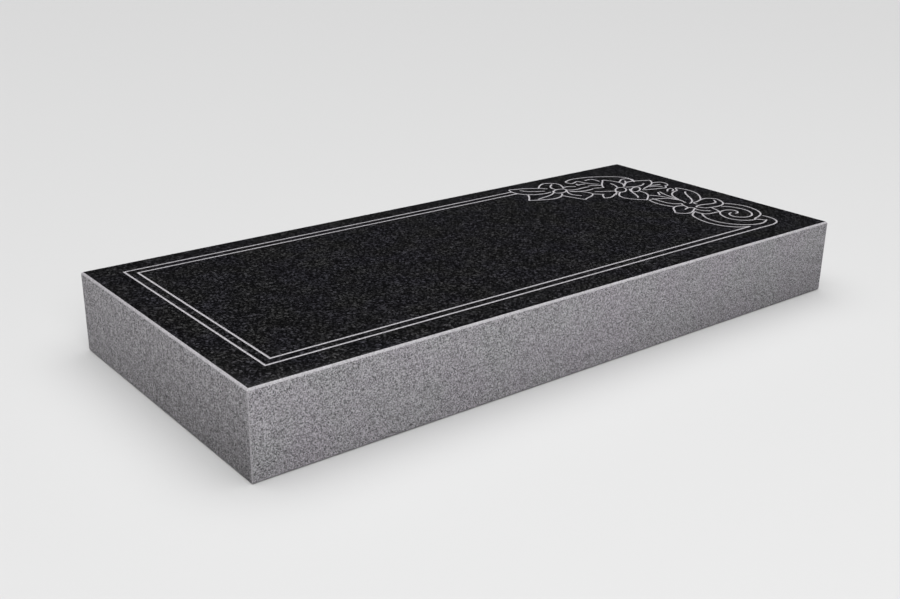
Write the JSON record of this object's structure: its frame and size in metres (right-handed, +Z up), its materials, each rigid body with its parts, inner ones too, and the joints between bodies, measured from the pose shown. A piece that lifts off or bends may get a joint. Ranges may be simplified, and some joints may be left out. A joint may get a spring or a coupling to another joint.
{
  "type": "flat grave marker",
  "caption": "Low rectangular stone marker that lies flat on the ground, with a polished top face and a lily and scroll border cut as fine lines.",
  "frame": {"origin": "centre of the underside, on the ground", "axes": "+Z up out of the polished face, +Y along the length to the head, where the lilies are, +X across to the right of a reader who stands at the foot"},
  "size_m": [0.4064, 0.9144, 0.1016],
  "materials": {
    "granite": "polished top, sawn sides"
  },
  "bodies": {
    "root": {"marker_slab": "granite"}
  },
  "joints": []
}
